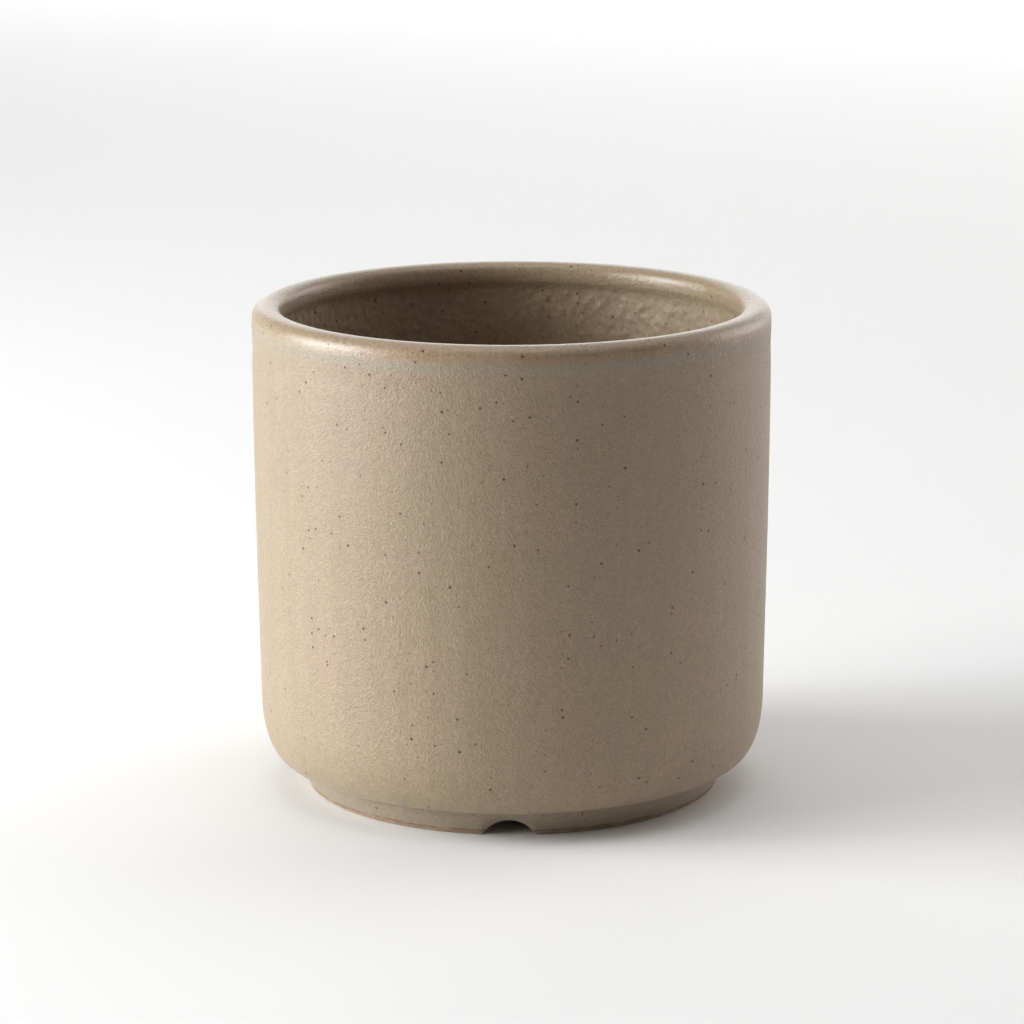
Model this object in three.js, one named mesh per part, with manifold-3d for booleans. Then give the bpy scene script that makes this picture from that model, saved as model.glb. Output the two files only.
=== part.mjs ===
// A round stoneware bonsai pot with a rolled rim and a notched foot ring, ready for planting: its drain
// hole is covered by a square of plastic mesh, held down by a bent wire clip.
// Millimetres, +Z up. The origin is on the pot's axis, in the plane that the foot ring stands on.

import * as THREE from "three";
import { mergeVertices } from "three/addons/utils/BufferGeometryUtils.js";
import Module from "manifold-3d";

const wasm = await Module();
wasm.setup();

// ---- driving dimensions ----

const HEIGHT = 123.3;
const RIM_RADIUS = 65; // the widest part, on the rolled rim
const LATHE_STEPS = 64; // flats round the pot

// the rolled rim, a bead that stands proud of the inner wall
const RIM_WIDTH = 7.2;
const CROWN_INSET = 3.4; // from the rim's widest circle in to its highest
const RIM_OUTER_DROP = 3.3; // from the crown down to the widest circle
const RIM_INNER_DROP = 3.5; // from the crown down to the tightest circle
const RIM_ROLL_HEIGHT = 8; // from the crown down to where the bead has run out inside
const ROUND = 0.55; // handle of a quarter turn that is as good as an ellipse
const FULL = 0.7; // handle of a fuller, squarer quarter turn
const CORNER_FULL = 0.62; // handle of the lower corner, between the two

// the outer wall
const GROOVE_DEPTH = 0.15; // the finger groove below the rim
const GROOVE_DROP = 10.5; // from the crown down to the groove
const GROOVE_HEIGHT = 9;
const WALL_FOOT_RADIUS = 64.05; // where the straight wall ends and the lower corner begins
const WALL_FOOT_Z = 23.7;
const SHELF_RADIUS = 57; // where the lower corner has turned level
const SHELF_Z = 7.1;

// the foot ring
const FOOT_TOP_RADIUS = 54.5;
const FOOT_TOP_Z = 5.2;
const FOOT_RADIUS = 52.5;
const FOOT_INNER_RADIUS = 45.2;
const FOOT_EDGE = 0.7; // the softened edges of the ring's standing face
const FOOT_INNER_TAPER = 1;

// the notches that let water out under the foot ring
const NOTCHES = 3;
const NOTCH_WIDTH = 12.8;
const NOTCH_HEIGHT = 3.75;
const FIRST_NOTCH = THREE.MathUtils.degToRad(-91); // at the front, cut a degree off centre

// the inside
const INNER_TOP_RADIUS = 59.2;
const INNER_LOW_RADIUS = 58.2;
const INNER_CORNER = 11;
const FLOOR_Z = 12.4;
const CEILING_Z = 5.6; // the floor's underside, inside the foot ring
const CEILING_FILLET = 2;
const DRAIN_RADIUS = 11;
const DRAIN_EDGE = 1.6;

// the mesh over the drain hole
const MESH_CELLS = 11; // an odd number, so that there is a cell in the middle
const MESH_PITCH = 3.2;
const MESH_STRAND = 1;
const MESH_THICK = 1;

// the clip
const WIRE = 1.5;
const WIRE_SIDES = 8;
const WIRE_STEPS = 120;
const CLIP_LOOP_RADIUS = 3.8;
const CLIP_BEND = 1.2; // centreline radius of each right-angle bend
const CLIP_LEG_X = 3 * MESH_PITCH; // each leg goes down through the middle of a mesh cell
const CLIP_LEG_END_X = 22;

const TOUCH = 0.15; // the gap left where one piece rests on another

// ---- solids and meshes ----

function solidFrom(geometry) {
  const bare = geometry.clone();
  bare.deleteAttribute("normal");
  bare.deleteAttribute("uv");
  const merged = mergeVertices(bare, 1e-4);
  return new wasm.Manifold(
    new wasm.Mesh({
      numProp: 3,
      vertProperties: new Float32Array(merged.attributes.position.array),
      triVerts: new Uint32Array(merged.index.array),
    }),
  );
}

function geometryFrom(solid) {
  const mesh = solid.getMesh();
  const geometry = new THREE.BufferGeometry();
  geometry.setAttribute("position", new THREE.BufferAttribute(mesh.vertProperties, 3));
  geometry.setIndex(new THREE.BufferAttribute(mesh.triVerts, 1));
  geometry.computeVertexNormals();
  return geometry;
}

function piece(name, geometry, colour, roughness, metalness) {
  const material = new THREE.MeshStandardMaterial({ color: colour, roughness, metalness });
  const mesh = new THREE.Mesh(geometry, material);
  mesh.name = name;
  return mesh;
}

// ---- the pot: one fired body, turned from its half section ----

// Adds a curved run to the section: it leaves along the first handle and arrives along the second.
function curveTo(section, steps, start, startHandle, endHandle, end) {
  const at = (pair) => new THREE.Vector2(...pair);
  const curve = new THREE.CubicBezierCurve(at(start), at(startHandle), at(endHandle), at(end));
  section.push(...curve.getPoints(steps).slice(section.length ? 1 : 0));
}

// A quarter turn from one point to another: it leaves along r and arrives along z, or the other way round.
function quarterTo(section, steps, handle, start, end, leavesAlongR) {
  const [r0, z0] = start;
  const [r1, z1] = end;
  const first = leavesAlongR ? [r0 + (r1 - r0) * handle, z0] : [r0, z0 + (z1 - z0) * handle];
  const second = leavesAlongR ? [r1, z1 - (z1 - z0) * handle] : [r1 - (r1 - r0) * handle, z1];
  curveTo(section, steps, start, first, second, end);
}

// The section's points run up the outside, over the rim, down the inside, out through the drain hole,
// and back under the floor and down the foot ring's inner side to where they began.
function potSection() {
  const section = [];
  const rimMidZ = HEIGHT - RIM_OUTER_DROP;
  const rimInnerZ = HEIGHT - RIM_INNER_DROP;
  const rimInnerRadius = RIM_RADIUS - RIM_WIDTH;
  const grooveZ = HEIGHT - GROOVE_DROP;
  const grooveTop = [RIM_RADIUS, grooveZ + GROOVE_HEIGHT / 2];
  const grooveBottom = [RIM_RADIUS, grooveZ - GROOVE_HEIGHT / 2];
  const groove = [RIM_RADIUS - GROOVE_DEPTH, grooveZ];
  const rollEnd = [INNER_TOP_RADIUS, HEIGHT - RIM_ROLL_HEIGHT];
  const wallHeight = grooveBottom[1] - WALL_FOOT_Z;

  quarterTo(section, 2, ROUND, [FOOT_RADIUS - FOOT_EDGE, 0], [FOOT_RADIUS, FOOT_EDGE], true);
  section.push(new THREE.Vector2(FOOT_TOP_RADIUS, FOOT_TOP_Z));
  quarterTo(section, 2, ROUND, [FOOT_TOP_RADIUS, FOOT_TOP_Z], [SHELF_RADIUS, SHELF_Z], false);
  quarterTo(section, 8, CORNER_FULL, [SHELF_RADIUS, SHELF_Z], [WALL_FOOT_RADIUS, WALL_FOOT_Z], true);
  // the wall leans out as it rises, and is upright by the groove
  curveTo(
    section,
    4,
    [WALL_FOOT_RADIUS, WALL_FOOT_Z],
    [WALL_FOOT_RADIUS + 0.3, WALL_FOOT_Z + wallHeight * 0.275],
    [RIM_RADIUS, WALL_FOOT_Z + wallHeight * 0.57],
    grooveBottom,
  );
  const lead = GROOVE_HEIGHT / 6;
  const intoGroove = [RIM_RADIUS, grooveBottom[1] + lead];
  const outOfGroove = [RIM_RADIUS, grooveTop[1] - lead];
  curveTo(section, 2, grooveBottom, intoGroove, [groove[0], grooveZ - lead], groove);
  curveTo(section, 2, groove, [groove[0], grooveZ + lead], outOfGroove, grooveTop);
  section.push(new THREE.Vector2(RIM_RADIUS, rimMidZ));
  quarterTo(section, 5, ROUND, [RIM_RADIUS, rimMidZ], [RIM_RADIUS - CROWN_INSET, HEIGHT], false);
  quarterTo(section, 5, FULL, [RIM_RADIUS - CROWN_INSET, HEIGHT], [rimInnerRadius, rimInnerZ], true);
  const rollStart = [rimInnerRadius, rimInnerZ];
  const rollMid = (rimInnerZ + rollEnd[1]) / 2;
  curveTo(section, 4, rollStart, [rimInnerRadius, rollMid], [rollEnd[0], rollMid], rollEnd);
  const innerLow = [INNER_LOW_RADIUS, FLOOR_Z + INNER_CORNER];
  section.push(new THREE.Vector2(...innerLow));
  quarterTo(section, 5, ROUND, innerLow, [INNER_LOW_RADIUS - INNER_CORNER, FLOOR_Z], false);
  const drainMouth = DRAIN_RADIUS + DRAIN_EDGE;
  section.push(new THREE.Vector2(drainMouth, FLOOR_Z));
  quarterTo(section, 2, ROUND, [drainMouth, FLOOR_Z], [DRAIN_RADIUS, FLOOR_Z - DRAIN_EDGE], true);
  section.push(new THREE.Vector2(DRAIN_RADIUS, CEILING_Z + DRAIN_EDGE));
  quarterTo(section, 2, ROUND, [DRAIN_RADIUS, CEILING_Z + DRAIN_EDGE], [drainMouth, CEILING_Z], false);
  const ringTop = [FOOT_INNER_RADIUS - FOOT_INNER_TAPER, CEILING_Z - CEILING_FILLET];
  const ceilingEnd = [ringTop[0] - CEILING_FILLET, CEILING_Z];
  section.push(new THREE.Vector2(...ceilingEnd));
  quarterTo(section, 2, ROUND, ceilingEnd, ringTop, true);
  section.push(new THREE.Vector2(FOOT_INNER_RADIUS, FOOT_EDGE));
  quarterTo(section, 2, ROUND, [FOOT_INNER_RADIUS, FOOT_EDGE], [FOOT_INNER_RADIUS + FOOT_EDGE, 0], false);
  section.push(section[0].clone());
  return section;
}

// A round bar laid across the foot ring from the middle outwards: what it takes away is one notch.
function notchBar(angle) {
  const radius = (NOTCH_WIDTH ** 2 / 4 + NOTCH_HEIGHT ** 2) / (2 * NOTCH_HEIGHT);
  const length = 20;
  const bar = new THREE.CylinderGeometry(radius, radius, length, 40);
  bar.rotateZ(Math.PI / 2); // its axis along X
  bar.translate(FOOT_INNER_RADIUS + length / 2 - 6, 0, NOTCH_HEIGHT - radius);
  bar.rotateZ(angle);
  return bar;
}

function potGeometry() {
  const turned = new THREE.LatheGeometry(potSection(), LATHE_STEPS);
  turned.rotateX(Math.PI / 2);
  let body = solidFrom(turned);
  for (let i = 0; i < NOTCHES; i += 1) {
    const angle = FIRST_NOTCH + (i * 2 * Math.PI) / NOTCHES;
    body = body.subtract(solidFrom(notchBar(angle)));
  }
  return geometryFrom(body);
}

// ---- the mesh: strands moulded across each other, in a square that covers the drain hole ----

function meshGeometry() {
  const side = MESH_CELLS * MESH_PITCH + MESH_STRAND;
  let sheet = null;
  for (let i = 0; i <= MESH_CELLS; i += 1) {
    const offset = (i - MESH_CELLS / 2) * MESH_PITCH;
    const along = new THREE.BoxGeometry(side, MESH_STRAND, MESH_THICK);
    along.translate(0, offset, MESH_THICK / 2);
    const across = new THREE.BoxGeometry(MESH_STRAND, side, MESH_THICK);
    across.translate(offset, 0, MESH_THICK / 2);
    const pair = solidFrom(along).add(solidFrom(across));
    sheet = sheet ? sheet.add(pair) : pair;
  }
  return geometryFrom(sheet);
}

// ---- the clip: one length of wire with a loop each side on top and two legs turned out below ----

// Half of the clip's centreline, from its middle to the tip of one leg.
function clipHalf() {
  const topZ = FLOOR_Z + TOUCH + MESH_THICK + TOUCH + WIRE / 2;
  const legZ = CEILING_Z - TOUCH - WIRE / 2;
  const route = [];
  const arc = (steps, pointAt, from, to) => {
    for (let i = 0; i <= steps; i += 1) {
      const angle = from + ((to - from) * i) / steps;
      route.push(new THREE.Vector3(...pointAt(Math.cos(angle), Math.sin(angle))));
    }
  };

  // the bar across the middle runs into the loop at a tangent, and the loop ends heading for the hole
  const [loopX, loopY] = [CLIP_LEG_X + CLIP_LOOP_RADIUS, CLIP_BEND];
  const enter = Math.PI + Math.atan2(loopY, loopX) + Math.acos(CLIP_LOOP_RADIUS / Math.hypot(loopX, loopY));
  const loopAt = (c, s) => [loopX + CLIP_LOOP_RADIUS * c, loopY + CLIP_LOOP_RADIUS * s, topZ];
  route.push(new THREE.Vector3(0, 0, topZ));
  arc(24, loopAt, enter, 3 * Math.PI);

  // one bend takes the wire down through the mesh, the other turns its tip out against the underside
  const downAt = (c, s) => [CLIP_LEG_X, CLIP_BEND - CLIP_BEND * s, topZ - CLIP_BEND + CLIP_BEND * c];
  const outAt = (c, s) => [CLIP_LEG_X + CLIP_BEND - CLIP_BEND * c, 0, legZ + CLIP_BEND - CLIP_BEND * s];
  arc(8, downAt, 0, Math.PI / 2);
  arc(8, outAt, 0, Math.PI / 2);
  route.push(new THREE.Vector3(CLIP_LEG_END_X, 0, legZ));
  return route;
}

function clipGeometry() {
  const half = clipHalf();
  const otherHalf = half.slice(1).map((p) => new THREE.Vector3(-p.x, -p.y, p.z));
  const corners = [...otherHalf.reverse(), ...half];
  const route = new THREE.CurvePath();
  for (let i = 1; i < corners.length; i += 1) {
    if (corners[i].distanceTo(corners[i - 1]) > 1e-6) {
      route.add(new THREE.LineCurve3(corners[i - 1], corners[i]));
    }
  }
  const centreline = new THREE.CatmullRomCurve3(route.getSpacedPoints(WIRE_STEPS));
  const section = new THREE.Shape();
  section.absarc(0, 0, WIRE / 2, 0, 2 * Math.PI);
  return new THREE.ExtrudeGeometry(section, {
    steps: WIRE_STEPS,
    curveSegments: WIRE_SIDES / 2,
    extrudePath: centreline,
    bevelEnabled: false,
  });
}

// ---- the assembly ----

const bonsaiPot = new THREE.Group();

const potBody = piece("pot_body", potGeometry(), 0xa08c74, 0.55, 0);
bonsaiPot.add(potBody);

const drainMesh = piece("drain_mesh", meshGeometry(), 0x24262a, 0.6, 0);
drainMesh.position.z = FLOOR_Z + TOUCH;
bonsaiPot.add(drainMesh);

const meshClip = piece("mesh_clip", clipGeometry(), 0x8a6248, 0.4, 1);
bonsaiPot.add(meshClip);

export default bonsaiPot;
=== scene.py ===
# A round stoneware bonsai pot with a rolled rim and a notched foot ring. Inside, a square of plastic mesh
# covers the drain hole, and a bent wire clip holds it down.

from math import acos, atan2, cos, hypot, pi, radians, sin, sqrt

import bpy
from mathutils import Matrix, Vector
from mathutils.geometry import interpolate_bezier


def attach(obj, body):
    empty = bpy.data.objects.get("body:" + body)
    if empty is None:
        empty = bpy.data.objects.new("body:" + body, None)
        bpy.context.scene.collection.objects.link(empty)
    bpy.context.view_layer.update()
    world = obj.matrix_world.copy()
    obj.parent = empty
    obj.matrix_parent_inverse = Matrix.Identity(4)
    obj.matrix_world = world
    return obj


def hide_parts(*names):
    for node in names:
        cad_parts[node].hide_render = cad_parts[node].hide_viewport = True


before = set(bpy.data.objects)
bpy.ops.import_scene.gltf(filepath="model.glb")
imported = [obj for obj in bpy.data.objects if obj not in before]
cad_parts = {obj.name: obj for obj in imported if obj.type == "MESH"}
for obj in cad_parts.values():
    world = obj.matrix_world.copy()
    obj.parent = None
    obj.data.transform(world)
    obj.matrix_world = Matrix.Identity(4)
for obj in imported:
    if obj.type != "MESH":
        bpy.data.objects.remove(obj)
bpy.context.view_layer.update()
scene = bpy.context.scene


# ---- The camera ----
# A long lens at table height, looking a little down into the pot's mouth.

camera_data = bpy.data.cameras.new("camera")
camera_data.sensor_width = 36
camera_data.lens = 137.47
camera = bpy.data.objects.new("camera", camera_data)
camera.location = (0, -0.96593, 0.2907)
camera.rotation_euler = (radians(77.075), 0, 0)
camera.rotation_euler.rotate_axis("Z", radians(-0.13))
scene.collection.objects.link(camera)
scene.camera = camera


# ---- The pot ----
# One body of iron-bearing stoneware, thrown on a wheel: wall, rolled rim, floor and foot ring are one piece.
# The half section is drawn once and swept round, as the wheel sweeps the potter's fingers round the clay.

MM = 0.001

# Sizes are in millimetres. Radii are from the pot's axis and levels from the table. A fullness says how
# square a quarter turn is: 0.55 is round.
POT_HEIGHT = 123.3
RIM_RADIUS = 65.0
RIM_CROWN_RADIUS = 61.6
RIM_INNER_RADIUS = 57.8
GROOVE_RADIUS = 64.86
WALL_FOOT = (64.05, 23.7)
SHELF = (57.0, 7.1)
INNER_TOP_RADIUS = 59.2
INNER_LOW_RADIUS = 58.2
INNER_CORNER = 11
FLOOR_TOP = 12.4
FLOOR_UNDERSIDE = 5.6
DRAIN_RADIUS = 11.0
DRAIN_ROUND = 1.6
FOOT_RADIUS = 52.5
FOOT_INNER_RADIUS = 45.2
FOOT_TOP = 5.2
FOOT_ROUND = 0.7
FOOT_FLARE = 2.0
CORNER_FULL = 0.62
BEAD_FULL = 0.7
NOTCH_ANGLES = (-91, 29, 149)
NOTCH_WIDTH = 12.8
NOTCH_HEIGHT = 3.75


def begin_piece():
    """Leaves edit mode and deselects everything, so that the next operator acts on its own piece only."""
    if bpy.context.object and bpy.context.object.mode != "OBJECT":
        bpy.ops.object.mode_set(mode="OBJECT")
    bpy.ops.object.select_all(action="DESELECT")


def bend(line, steps, *handles):
    """Carries a section line on through a curve, from its last point by way of two handles to a new point."""
    points = [Vector((r, 0, z)) for r, z in (line[-1], *handles)]
    curve = interpolate_bezier(*points, steps + 1)
    line += [(p.x, p.z) for p in curve[1:]]


def quarter(line, steps, end, along_radius, fullness=0.55):
    """Carries a section line through a quarter turn that leaves either level or upright."""
    (r0, z0), (r1, z1) = line[-1], end
    if along_radius:
        bend(line, steps, (r0 + (r1 - r0) * fullness, z0), (r1, z1 - (z1 - z0) * fullness), end)
    else:
        bend(line, steps, (r0, z0 + (z1 - z0) * fullness), (r1 - (r1 - r0) * fullness, z1), end)


def straight(line, steps, end):
    """Carries a section line straight on to a new point."""
    (r0, z0), (r1, z1) = line[-1], end
    line += [(r0 + (r1 - r0) * i / steps, z0 + (z1 - z0) * i / steps) for i in range(1, steps + 1)]


def pot_section():
    """The pot's closed half section: up the outside, over the rim, down the inside and back underneath."""
    line = [(FOOT_RADIUS - FOOT_ROUND, 0.0)]
    # the outer side of the foot ring, with a soft edge all round where it stands
    quarter(line, 4, (FOOT_RADIUS, FOOT_ROUND), True)
    straight(line, 5, (FOOT_RADIUS + FOOT_FLARE, FOOT_TOP))
    quarter(line, 5, SHELF, False)
    # the full lower corner, and a wall that leans out very slightly as it rises
    quarter(line, 16, WALL_FOOT, True, CORNER_FULL)
    bend(line, 26, (64.35, 47.0), (RIM_RADIUS, 72.0), (RIM_RADIUS, 108.3))
    # the finger groove under the rim
    bend(line, 4, (RIM_RADIUS, 110.2), (GROOVE_RADIUS, 111.6), (GROOVE_RADIUS, 112.9))
    bend(line, 4, (GROOVE_RADIUS, 114.2), (RIM_RADIUS, 115.6), (RIM_RADIUS, 117.3))
    straight(line, 2, (RIM_RADIUS, 120.0))
    # the rolled rim stands proud of the inner wall
    quarter(line, 8, (RIM_CROWN_RADIUS, POT_HEIGHT), False)
    quarter(line, 10, (RIM_INNER_RADIUS, 119.8), True, BEAD_FULL)
    bend(line, 8, (RIM_INNER_RADIUS, 117.5), (INNER_TOP_RADIUS, 117.5), (INNER_TOP_RADIUS, 115.3))
    # the inner wall and the floor
    straight(line, 30, (INNER_LOW_RADIUS, FLOOR_TOP + INNER_CORNER))
    quarter(line, 12, (INNER_LOW_RADIUS - INNER_CORNER, FLOOR_TOP), False)
    straight(line, 12, (DRAIN_RADIUS + DRAIN_ROUND, FLOOR_TOP))
    # the drain hole
    quarter(line, 4, (DRAIN_RADIUS, FLOOR_TOP - DRAIN_ROUND), True)
    straight(line, 2, (DRAIN_RADIUS, FLOOR_UNDERSIDE + DRAIN_ROUND))
    quarter(line, 4, (DRAIN_RADIUS + DRAIN_ROUND, FLOOR_UNDERSIDE), False)
    # the underside, and the inner side and the sole of the foot ring
    straight(line, 10, (FOOT_INNER_RADIUS - 3, FLOOR_UNDERSIDE))
    quarter(line, 4, (FOOT_INNER_RADIUS - 1, FLOOR_UNDERSIDE - 2), True)
    straight(line, 3, (FOOT_INNER_RADIUS, FOOT_ROUND))
    quarter(line, 4, (FOOT_INNER_RADIUS + FOOT_ROUND, 0.0), False)
    straight(line, 4, (FOOT_RADIUS - FOOT_ROUND, 0.0))
    return line[:-1]


def across_notch(x, y, angle):
    """How far a point lies to the side of a notch's middle line, or None on the far side of the pot."""
    along = x * cos(radians(angle)) + y * sin(radians(angle))
    return y * cos(radians(angle)) - x * sin(radians(angle)) if along > 0 else None


def notch_lift(place):
    """How much of a notch's full height a point of the foot ring is raised by, from 0 to 1."""
    x, y, z = place.x / MM, place.y / MM, place.z / MM
    if z > FOOT_TOP or hypot(x, y) < FOOT_INNER_RADIUS - 6 or hypot(x, y) > FOOT_RADIUS + 3:
        return 0
    radius = (NOTCH_WIDTH ** 2 / 4 + NOTCH_HEIGHT ** 2) / (2 * NOTCH_HEIGHT)
    height = 0
    for angle in NOTCH_ANGLES:
        side = across_notch(x, y, angle)
        if side is not None and abs(side) < radius:
            arch = sqrt(radius ** 2 - side ** 2) - radius + NOTCH_HEIGHT
            # the sponge rounds the arch into the standing face
            height = max(height, 0.5 * (arch + sqrt(arch ** 2 + 0.05)) - 0.01)
    return height / NOTCH_HEIGHT * (1 - z / FOOT_TOP)


begin_piece()
half_section = pot_section()
bpy.ops.mesh.primitive_circle_add(vertices=len(half_section), radius=RIM_RADIUS * MM)
pot = bpy.context.object
pot.name = "thrown_pot"
start = radians(NOTCH_ANGLES[0] + 60)
for vertex, (radius, height) in zip(pot.data.vertices, half_section):
    vertex.co = (radius * MM * cos(start), radius * MM * sin(start), height * MM)
bpy.ops.object.mode_set(mode="EDIT")
bpy.ops.mesh.select_all(action="SELECT")
# the sweep takes finer steps as it passes each notch
for _ in NOTCH_ANGLES:
    for sweep, steps in ((50, 28), (20, 52), (50, 28)):
        bpy.ops.mesh.spin(steps=steps, angle=radians(sweep), center=(0, 0, 0), axis=(0, 0, 1))
bpy.ops.mesh.select_all(action="SELECT")
bpy.ops.mesh.remove_doubles(threshold=0.00001)
bpy.ops.mesh.normals_make_consistent(inside=False)
bpy.ops.object.mode_set(mode="OBJECT")


def press(piece, name, strength, direction="NORMAL", weight=None, texture=None):
    """Pushes a piece's surface by a Displace modifier, weighted point by point and patterned by a texture."""
    modifier = piece.modifiers.new(name, "DISPLACE")
    modifier.strength = strength * MM
    modifier.direction = direction
    modifier.mid_level = 0.5 if texture else 0
    if weight:
        group = piece.vertex_groups.new(name=name)
        for vertex in piece.data.vertices:
            share = weight(vertex.co)
            if share > 0:
                group.add([vertex.index], min(share, 1), "REPLACE")
        modifier.vertex_group = name
    if texture:
        modifier.texture = texture
        modifier.texture_coords = "LOCAL"
    bpy.context.view_layer.objects.active = piece
    bpy.ops.object.modifier_apply(modifier=name)


def clouds(name, size):
    """A soft three-dimensional pattern with lumps of about the given size."""
    texture = bpy.data.textures.new(name, "CLOUDS")
    texture.noise_scale = size * MM
    texture.noise_depth = 1
    return texture


def rise(value, low, high):
    """Goes smoothly from 0 at low to 1 at high."""
    share = min(max((value - low) / (high - low), 0), 1)
    return share * share * (3 - 2 * share)


def inner_wall(place):
    """How far a point counts as the inner wall or floor, from 0 to 1."""
    radius, height = hypot(place.x, place.y) / MM, place.z / MM
    return rise(radius, 62, 60) * rise(height, 118, 113) * rise(height, 8, 14)


# a damp sponge cuts the notches, and fingers and grit leave the inner wall uneven
press(pot, "notches", NOTCH_HEIGHT, "Z", notch_lift)
press(pot, "finger_dents", 0.8, "NORMAL", inner_wall, clouds("finger_dents", 7))
press(pot, "grit_lumps", 0.35, "NORMAL", inner_wall, clouds("grit_lumps", 2.2))
begin_piece()
pot.select_set(True)
bpy.context.view_layer.objects.active = pot
bpy.ops.object.shade_smooth_by_angle(angle=radians(50))


class Socket:
    """A value in a material. Arithmetic on it adds the Math nodes that work it out."""

    def __init__(self, socket):
        self.socket = socket

    def node(self, kind, settings=None, inputs=None, output=0):
        """Adds any node to this value's material: its settings go in first, then its sockets."""
        tree = self.socket.id_data
        added = tree.nodes.new("ShaderNode" + kind)
        for key, value in (settings or {}).items():
            setattr(added, key, value)
        for key, value in (inputs or {}).items():
            if isinstance(value, Socket):
                tree.links.new(value.socket, added.inputs[key])
            else:
                added.inputs[key].default_value = value
        return Socket(added.outputs[output])

    def _math(self, operation, *values):
        return self.node("Math", {"operation": operation}, dict(enumerate(values)))

    def __add__(self, other):
        return self._math("ADD", self, other)

    __radd__ = __add__

    def __sub__(self, other):
        return self._math("SUBTRACT", self, other)

    def __rsub__(self, other):
        return self._math("SUBTRACT", other, self)

    def __mul__(self, other):
        return self._math("MULTIPLY", self, other)

    __rmul__ = __mul__

    def __truediv__(self, other):
        return self._math("DIVIDE", self, other)

    def __pow__(self, other):
        return self._math("POWER", self, other)

    def most(self, other):
        """The larger of two values."""
        return self._math("MAXIMUM", self, other)

    def ramp(self, low, high, to_low=0.0, to_high=1.0):
        """Goes smoothly from one value to another as this value goes from low to high."""
        settings = {"interpolation_type": "SMOOTHSTEP"}
        inputs = {"Value": self, "From Min": low, "From Max": high, "To Min": to_low, "To Max": to_high}
        return self.node("MapRange", settings, inputs)

    def tint(self, below, above):
        """A colour that is one thing where this mask is 0 and another where it is 1."""
        settings = {"data_type": "RGBA", "clamp_factor": True}
        return self.node("Mix", settings, {0: self, 6: below, 7: above}, 2)


def new_material(name):
    """A material with its Principled shader, and the places on the piece that its patterns are laid on."""
    material = bpy.data.materials.new(name)
    material.use_nodes = True
    tree = material.node_tree
    shader = tree.nodes["Principled BSDF"]
    places = Socket(tree.nodes.new("ShaderNodeTexCoord").outputs["Object"])
    return material, shader, places


def feed(shader, name, value):
    """Links a worked-out value to a shader's socket."""
    value.socket.id_data.links.new(value.socket, shader.inputs[name])


def stretched(places, x, y=None, z=None):
    """The same places, counted in units of the given millimetres, which one size alone gives all ways."""
    scale = (1 / (x * MM), 1 / ((y or x) * MM), 1 / ((z or x) * MM))
    return places.node("VectorMath", {"operation": "MULTIPLY"}, {0: places, 1: scale})


def mottle(places, detail=2.0, roughness=0.5):
    """Soft noise from 0 to 1, with one lump to each unit."""
    inputs = {"Vector": places, "Scale": 1.0, "Detail": detail, "Roughness": roughness}
    return places.node("TexNoise", {}, inputs)


RAGGED = 0.22 * MM  # how far the outline of a grain wanders


def specks(places, spacing, share, smallest, largest):
    """Scattered grains: one cell in a grid of the given spacing has one, by the given share.

    Gives a mask of the grains themselves and one of the wider stains round them.
    """
    shift = places.node("TexNoise", {}, {"Vector": stretched(places, 0.5), "Scale": 1.0}, 1)
    ragged = places.node("VectorMath", {"operation": "MULTIPLY_ADD"}, {0: shift, 1: (RAGGED,) * 3, 2: places})
    grid = {"Vector": stretched(ragged, spacing), "Scale": 1.0}
    distance = places.node("TexVoronoi", {}, grid, 0)
    chance = places.node("TexVoronoi", {}, grid, 1)
    dice = places.node("SeparateColor", {}, {"Color": chance}, 0)
    size = places.node("SeparateColor", {}, {"Color": chance}, 1)
    here = dice.ramp(share, share - 0.001)
    nearness = distance / (size * size).ramp(0, 1, smallest / spacing, largest / spacing)
    return here * nearness.ramp(1.1, 0.8), here * nearness.ramp(2.2, 0.9)


glaze, shader, places = new_material("ash_glaze")
xyz = [places.node("SeparateXYZ", {}, {0: places}, i) for i in range(3)]
height = xyz[2] / MM
radius = (xyz[0] * xyz[0] + xyz[1] * xyz[1]) ** 0.5 / MM

# where the glaze lies thick or thin, and where it was wiped off
wander = mottle(stretched(places, 18, 18, 22)) - 0.5
edge_height = height + wander * 2.0
outside = radius.ramp(61.8, 63.2)
under_rim = edge_height.ramp(115.8, 117.6) * edge_height.ramp(119.9, 118.3) * outside
on_rim = edge_height.ramp(118.4, 120.4)
in_mouth = radius.ramp(61.5, 60) * height.ramp(119.5, 115) * height.ramp(8, 12)
on_foot = height.ramp(7.0, 6.0) * radius.ramp(49, 51)
pooled = height.ramp(9.4, 7.4) * height.ramp(5.6, 6.6) * radius.ramp(49, 51)
glaze_line = height + wander * 0.7 + (mottle(stretched(places, 1.1)) - 0.5) * 0.7
bare = glaze_line.ramp(1.2, 0.95)
burnt = glaze_line.ramp(0.85, 1.1) * glaze_line.ramp(1.6, 1.2) * radius.ramp(49, 51)
underneath = height.ramp(6.6, 6.2) * radius.ramp(51.0, 50.0)

# the glaze drifts from olive to pink over a few centimetres, runs in faint upright streaks and breaks
# into a fine grain; painted shade makes it a little lighter low on the wall and a little darker above
drift = mottle(stretched(places, 24, 24, 30), 1.5)
patches = mottle(stretched(places, 4.5), 2.0)
streaks = mottle(stretched(places, 4, 4, 60), 2.0)
grain = mottle(stretched(places, 0.5), 2.0, 0.7)
blots = mottle(stretched(places, 1.5), 1.0)

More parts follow.
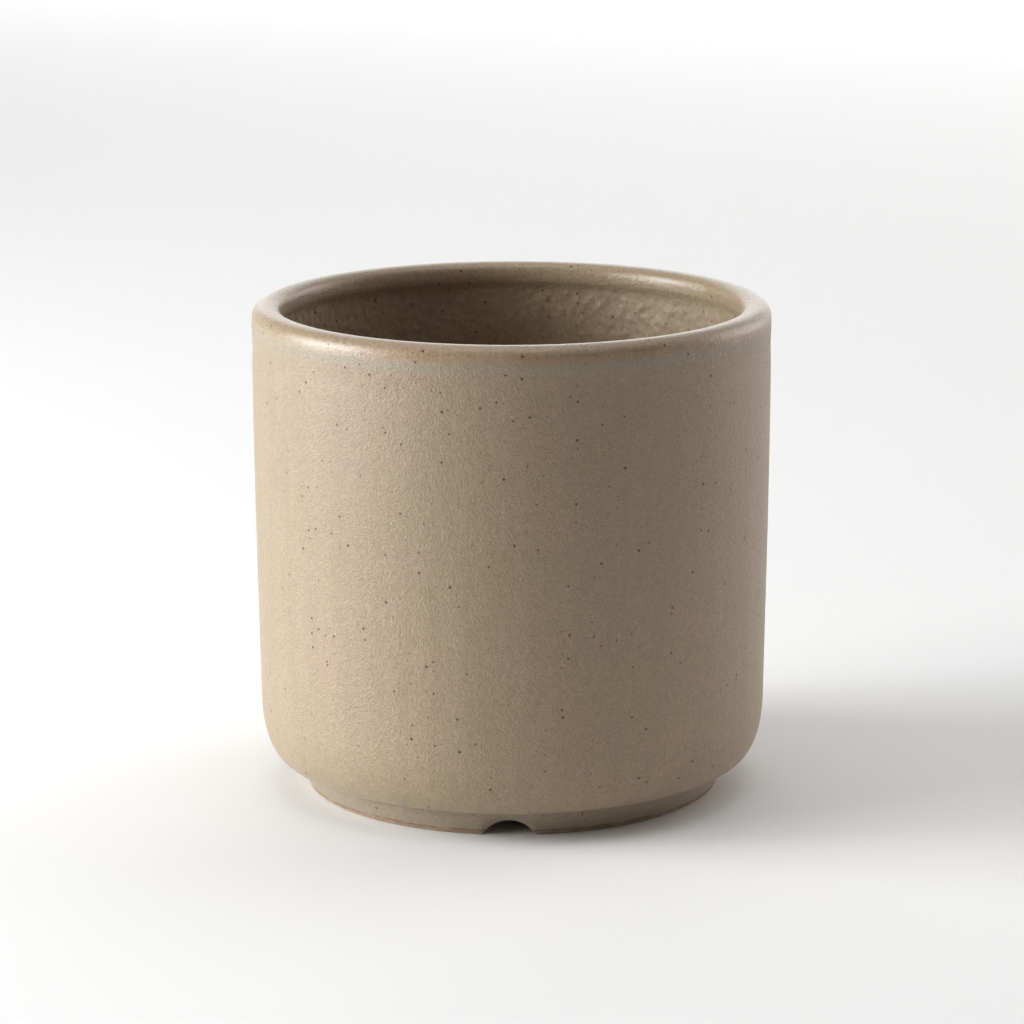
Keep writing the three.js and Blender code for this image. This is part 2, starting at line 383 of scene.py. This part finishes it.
olive = (0.296, 0.226, 0.140, 1)
pink = (0.307, 0.225, 0.147, 1)
colour = (drift * 0.6 + patches * 0.4).ramp(0.38, 0.62).tint(olive, pink)
colour = (under_rim * 0.85).tint(colour, (0.285, 0.238, 0.170, 1))
rust = (0.285, 0.170, 0.088, 1)
rusty = on_rim * edge_height.ramp(122.9, 121.6) * mottle(stretched(places, 9, 9, 6), 3.0).ramp(0.38, 0.62)
colour = (rusty * 0.4).tint(colour, rust)
colour = (pooled * 0.5).tint(colour, (0.300, 0.240, 0.130, 1))
colour = (on_foot * 0.7).tint(colour, (0.262, 0.213, 0.148, 1))
shade = grain.ramp(0.3, 0.7, 0.85, 1.13) * blots.ramp(0.3, 0.7, 0.96, 1.04)
# painted shade: the height factor lightens the colour towards the foot and darkens it towards the rim
shade = shade * streaks.ramp(0.3, 0.7, 0.975, 1.025) * height.ramp(10, 112, 1.06, 0.95)
grey = places.node("CombineColor", {}, {0: shade, 1: shade, 2: shade})
shading = {"data_type": "RGBA", "blend_type": "MULTIPLY"}
colour = places.node("Mix", shading, {0: 1.0, 6: colour, 7: grey}, 2)

# iron in the clay burns through the glaze as dark specks, and grains of grit show as pale ones
iron, iron_stain = specks(places, 1.9, 0.42, 0.12, 0.34)
dust, _ = specks(places, 0.8, 0.8, 0.06, 0.14)
lumps, lump_stain = specks(places, 4.6, 0.5, 0.3, 0.7)
grit, _ = specks(places, 2.4, 0.3, 0.12, 0.26)
colour = (grit * 0.6).tint(colour, (0.56, 0.47, 0.36, 1))
colour = (dust * 0.5).tint(colour, (0.06, 0.032, 0.012, 1))
colour = (iron_stain * 0.22).tint(colour, (0.10, 0.05, 0.018, 1))
colour = (iron * 0.95).tint(colour, (0.036, 0.015, 0.004, 1))
colour = (lump_stain * in_mouth * 0.35).tint(colour, (0.10, 0.052, 0.02, 1))
colour = (lumps * in_mouth * 0.75).tint(colour, (0.03, 0.016, 0.007, 1))

# the bare clay of the sole and the underside, and the burnt line where the glaze stops
dark_clay = (0.25, 0.16, 0.09, 1)
pale_clay = (0.35, 0.245, 0.15, 1)
clay = (grain * 0.5 + patches * 0.5).ramp(0.35, 0.65).tint(dark_clay, pale_clay)
unglazed = bare.most(underneath)
colour = unglazed.tint(colour, clay)
scorched = burnt * mottle(stretched(places, 2.5), 2.0).ramp(0.3, 0.55)
colour = (scorched * 0.75).tint(colour, (0.085, 0.038, 0.017, 1))
feed(shader, "Base Color", colour)

satin = (grain - 0.5) * 0.2 + 0.5 - on_rim * 0.2 - on_foot * 0.06
feed(shader, "Roughness", satin.most(unglazed * 0.8))
# the relief, in millimetres
skin = grain * (0.24 - on_rim * 0.14 - in_mouth * 0.15) + blots * 0.1
lumpy = mottle(stretched(places, 2.0), 0.0) * 0.32 + mottle(stretched(places, 9), 0.0) * 0.3
relief = skin + in_mouth * lumpy + grit * 0.03 - iron * 0.03 - dust * 0.015
feed(shader, "Normal", places.node("Bump", {}, {"Height": relief, "Distance": MM, "Strength": 1.0}))
shader.inputs["IOR"].default_value = 1.5
shader.inputs["Sheen Weight"].default_value = 0.2
shader.inputs["Sheen Roughness"].default_value = 0.38

pot.data.materials.clear()
pot.data.materials.append(glaze)
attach(pot, "root")
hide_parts("pot_body")


# ---- The drain mesh ----
# A square of black plastic netting, cut from a roll, that keeps the soil from washing out of the drain hole.
# It is moulded in one piece, lies loose on the pot's floor and is held down by the clip.

MESH_CELLS = 11
MESH_PITCH = 3.2
MESH_STRAND = 1.0
TOUCHING_GAP = 0.15
MESH_BASE = FLOOR_TOP + TOUCHING_GAP

begin_piece()
bpy.ops.mesh.primitive_grid_add(
    x_subdivisions=MESH_CELLS,
    y_subdivisions=MESH_CELLS,
    size=MESH_CELLS * MESH_PITCH * MM,
    location=(0, 0, 0),
)
netting = bpy.context.object
netting.name = "drain_netting"
bpy.ops.object.mode_set(mode="EDIT")
bpy.ops.mesh.select_all(action="SELECT")
bpy.ops.transform.translate(value=(0, 0, (MESH_BASE + MESH_STRAND / 2) * MM))
bpy.ops.object.mode_set(mode="OBJECT")
strands = netting.modifiers.new("strands", "WIREFRAME")
strands.thickness = MESH_STRAND * MM
strands.use_even_offset = True
strands.use_boundary = True
bpy.ops.object.modifier_apply(modifier="strands")
soft = netting.modifiers.new("soft_edges", "BEVEL")
soft.width = 0.26 * MM
soft.segments = 2
soft.limit_method = "ANGLE"
soft.angle_limit = radians(40)
bpy.ops.object.modifier_apply(modifier="soft_edges")
bpy.ops.object.shade_smooth_by_angle(angle=radians(60))

plastic, shader, places = new_material("black_netting")
worn = mottle(stretched(places, 2.5, 2.5, 1.5), 3.0)
soil = mottle(stretched(places, 0.4), 2.0).ramp(0.55, 0.75) * worn.ramp(0.45, 0.7)
black = worn.ramp(0.3, 0.7).tint((0.012, 0.012, 0.013, 1), (0.028, 0.028, 0.03, 1))
feed(shader, "Base Color", (soil * 0.5).tint(black, (0.12, 0.1, 0.08, 1)))
feed(shader, "Roughness", worn.ramp(0.3, 0.7, 0.38, 0.62) + soil * 0.2)
ripple = mottle(stretched(places, 0.8), 2.0)
feed(shader, "Normal", places.node("Bump", {}, {"Height": ripple, "Distance": 0.08 * MM, "Strength": 0.6}))
netting.data.materials.clear()
netting.data.materials.append(plastic)
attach(netting, "root")
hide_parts("drain_mesh")


# ---- The clip ----
# One length of soft anodised aluminium wire, bent by hand into a bar with a loop at each end. Its two legs
# go down through the netting and the drain hole, and are turned out against the underside of the floor.

WIRE = 1.5
LOOP_RADIUS = 3.8
LEG_X = 3 * MESH_PITCH
LEG_END_X = 22.0
WIRE_BEND = 1.2
LOOP_STEPS = 32
BEND_STEPS = 8


def clip_half():
    """Half of the wire's middle line, from the centre of the bar to the tip of one leg."""
    top = MESH_BASE + MESH_STRAND + TOUCHING_GAP + WIRE / 2
    low = FLOOR_UNDERSIDE - TOUCHING_GAP - WIRE / 2
    centre_x, centre_y = LEG_X + LOOP_RADIUS, WIRE_BEND
    enter = pi + atan2(centre_y, centre_x) + acos(LOOP_RADIUS / hypot(centre_x, centre_y))
    line = [(0, 0, top)]
    # round the loop, until the wire lies across the leg's place
    for i in range(LOOP_STEPS + 1):
        turn = enter + (3 * pi - enter) * i / LOOP_STEPS
        line.append((centre_x + LOOP_RADIUS * cos(turn), centre_y + LOOP_RADIUS * sin(turn), top))
    # down through the netting
    for i in range(1, BEND_STEPS + 1):
        turn = pi / 2 * i / BEND_STEPS
        line.append((LEG_X, WIRE_BEND * (1 - sin(turn)), top - WIRE_BEND * (1 - cos(turn))))
    # and outwards under the pot's floor
    for i in range(BEND_STEPS + 1):
        turn = pi / 2 * i / BEND_STEPS
        line.append((LEG_X + WIRE_BEND * (1 - cos(turn)), 0, low + WIRE_BEND * (1 - sin(turn))))
    line.append((LEG_END_X, 0, low))
    return line


begin_piece()
half_wire = clip_half()
middle_line = [(-x, -y, z) for x, y, z in half_wire[:0:-1]] + half_wire
wire = bpy.data.curves.new("wire_clip", "CURVE")
wire.dimensions = "3D"
wire.bevel_depth = WIRE / 2 * MM
wire.bevel_resolution = 5
wire.use_fill_caps = True
path = wire.splines.new("POLY")
path.points.add(len(middle_line) - 1)
for point, (x, y, z) in zip(path.points, middle_line):
    point.co = (x * MM, y * MM, z * MM, 1)
clip = bpy.data.objects.new("wire_clip", wire)
scene.collection.objects.link(clip)
clip.select_set(True)
bpy.context.view_layer.objects.active = clip
bpy.ops.object.convert(target="MESH")
clip = bpy.context.object
bpy.ops.object.mode_set(mode="EDIT")
bpy.ops.mesh.select_all(action="SELECT")
bpy.ops.mesh.remove_doubles(threshold=0.000001)
bpy.ops.mesh.normals_make_consistent(inside=False)
bpy.ops.object.mode_set(mode="OBJECT")
bpy.ops.object.shade_smooth_by_angle(angle=radians(50))

metal, shader, places = new_material("copper_brown_wire")
drawn = mottle(stretched(places, 1.6, 0.12, 0.12), 3.0)
handled = mottle(stretched(places, 3), 3.0).ramp(0.55, 0.72)
copper_brown = drawn.ramp(0.3, 0.7).tint((0.23, 0.115, 0.06, 1), (0.36, 0.2, 0.11, 1))
feed(shader, "Base Color", (handled * 0.5).tint(copper_brown, (0.55, 0.43, 0.34, 1)))
shader.inputs["Metallic"].default_value = 1.0
feed(shader, "Roughness", drawn.ramp(0.3, 0.7, 0.28, 0.45) + handled * 0.12)
feed(shader, "Normal", places.node("Bump", {}, {"Height": drawn, "Distance": 0.02 * MM, "Strength": 0.5}))
clip.data.materials.clear()
clip.data.materials.append(metal)
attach(clip, "root")
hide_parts("mesh_clip")


# ---- The studio ----
# A round sheet of pale paper that sweeps up into a wall. A window at the pot's left gives most of the light,
# and broad soft boxes stand in for the walls and the ceiling of a pale room. Three more wash the sweep.

FLOOR_RADIUS = 2.4
SWEEP_RADIUS = 0.9
SWEEP_RUNGS = 12

begin_piece()
bpy.ops.mesh.primitive_circle_add(vertices=96, radius=FLOOR_RADIUS, fill_type="NGON", location=(0, 0, 0))
floor = bpy.context.object
floor.name = "floor"
bpy.ops.object.mode_set(mode="EDIT")
bpy.ops.mesh.inset(thickness=FLOOR_RADIUS / 2)
bpy.ops.mesh.select_all(action="SELECT")
bpy.ops.mesh.region_to_loop()
for rung in range(1, SWEEP_RUNGS + 1):
    turn = radians(90 * rung / SWEEP_RUNGS)
    before = radians(90 * (rung - 1) / SWEEP_RUNGS)
    wide = (FLOOR_RADIUS + SWEEP_RADIUS * sin(turn)) / (FLOOR_RADIUS + SWEEP_RADIUS * sin(before))
    lift = SWEEP_RADIUS * (cos(before) - cos(turn))
    bpy.ops.mesh.extrude_region_move(TRANSFORM_OT_translate={"value": (0, 0, lift)})
    bpy.ops.transform.resize(value=(wide, wide, 1), center_override=(0, 0, 0))
bpy.ops.mesh.select_all(action="SELECT")
bpy.ops.mesh.normals_make_consistent(inside=True)
bpy.ops.object.mode_set(mode="OBJECT")
bpy.ops.object.shade_smooth()

paper, shader, places = new_material("paper")
shader.inputs["Base Color"].default_value = (0.79, 0.79, 0.79, 1)
shader.inputs["Roughness"].default_value = 0.9
floor.data.materials.append(paper)


def soft_light(name, size, azimuth, elevation, distance, power, colour=(1, 1, 1), faces=(0, 0, 0.06)):
    """A square soft box, placed round the pot (0 is in front, 90 to the left), that faces a given point."""
    data = bpy.data.lights.new(name, "AREA")
    data.size = size
    data.energy = power
    data.color = colour
    lamp = bpy.data.objects.new(name, data)
    turn, tilt = radians(azimuth), radians(elevation)
    lamp.location = Vector((-sin(turn) * cos(tilt), -cos(turn) * cos(tilt), sin(tilt))) * distance
    lamp.rotation_euler = (Vector(faces) - lamp.location).to_track_quat("-Z", "Y").to_euler()
    lamp.visible_camera = False
    scene.collection.objects.link(lamp)


WARM = (1.0, 0.92, 0.86)
COOL = (0.89, 0.96, 1.0)

# each line gives the size in metres, degrees round and up, distance in metres, and power in watts
soft_light("window_middle", 0.62, 72, 30, 1.35, 4.6, WARM)
soft_light("window_bottom", 0.62, 72, 12, 1.35, 7.4)
soft_light("window_side_middle", 0.62, 90, 30, 1.35, 6.2)
soft_light("window_side", 0.62, 90, 12, 1.35, 17.4, COOL)
soft_light("back_left_wall", 1.5, 150, 14, 2.3, 2.2, COOL)
soft_light("back_wall", 1.5, 180, 14, 2.3, 10.5)
soft_light("back_ceiling", 1.5, 180, 45, 2.3, 2.5)
soft_light("right_wall", 1.5, -120, 12, 2.3, 21.5, WARM)
soft_light("right_ceiling", 1.5, -120, 45, 2.3, 8.0)
soft_light("back_right_wall", 1.5, -150, 14, 2.3, 6.0)
soft_light("ceiling", 1.0, 0, 90, 1.35, 4.8)
soft_light("wide_ceiling", 3.0, 0, 90, 2.3, 7.5)
soft_light("back_wash", 1.2, 180, 50, 2.4, 7.6, faces=(-0.3, 3.0, 0.2))
soft_light("left_wash", 1.2, 90, 50, 2.4, 12.0, faces=(-3.2, 0, 0.4))
soft_light("front_right_wash", 1.2, -45, 50, 2.4, 10.0, faces=(2.2, -2.2, 0.3))

world = bpy.data.worlds.new("surroundings")
scene.world = world
world.use_nodes = True
world.node_tree.nodes["Background"].inputs["Color"].default_value = (1, 1, 1, 1)
world.node_tree.nodes["Background"].inputs["Strength"].default_value = 0.02
scene.view_settings.view_transform = "Standard"
